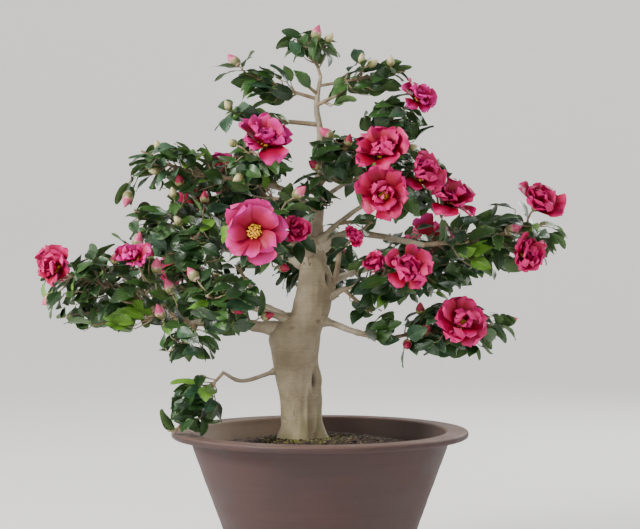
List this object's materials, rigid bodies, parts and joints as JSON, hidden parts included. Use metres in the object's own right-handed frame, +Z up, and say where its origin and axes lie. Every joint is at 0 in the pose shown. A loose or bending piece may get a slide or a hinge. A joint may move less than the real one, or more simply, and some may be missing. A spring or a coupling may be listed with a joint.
{
  "type": "camellia bonsai in a round clay pot",
  "caption": "Flowering camellia bonsai: thick leaning trunk, thin leader, open tiers of leafy boughs, in a tapered wide-rimmed clay pot.",
  "frame": {"origin": "centre of the pot's flat underside, on the surface that the pot stands on", "axes": "+Z up, -Y towards the front of the plant, where the trunk shows bare, +X to the right as seen from the front"},
  "size_m": [0.6467, 0.3954, 0.6981],
  "materials": {
    "pot": "matte",
    "soil": "matte",
    "bark": "matte",
    "leaves": "satin"
  },
  "bodies": {
    "root": {"pot": "pot", "soil": "soil", "trunk": "bark", "leader": "bark", "bough_left_high": "bark", "bough_left_mid": "bark", "bough_left_low": "bark", "bough_left_inner": "bark", "bough_left_droop": "bark", "bough_front": "bark", "bough_right_up": "bark", "bough_right_high": "bark", "bough_right_mid": "bark", "bough_right_low": "bark", "bough_right_top": "bark", "bough_back_left": "bark", "bough_back_right": "bark", "bough_back": "bark", "bough_back_left_high": "bark", "bough_back_right_high": "bark", "foliage_apex": "leaves", "foliage_top_right": "leaves", "foliage_top_left": "leaves", "foliage_left_wisp": "leaves", "foliage_right_top": "leaves", "foliage_upper_centre": "leaves", "foliage_left_high_inner": "leaves", "foliage_left_high_outer": "leaves", "foliage_left_mid": "leaves", "foliage_left_inner": "leaves", "foliage_left_low": "leaves", "foliage_left_droop": "leaves", "foliage_front": "leaves", "foliage_right_blossom": "leaves", "foliage_right_far": "leaves", "foliage_right_mid": "leaves", "foliage_right_low": "leaves", "foliage_back_left": "leaves", "foliage_back_right": "leaves", "foliage_back": "leaves", "foliage_back_left_high": "leaves", "foliage_back_right_high": "leaves"}
  },
  "joints": []
}
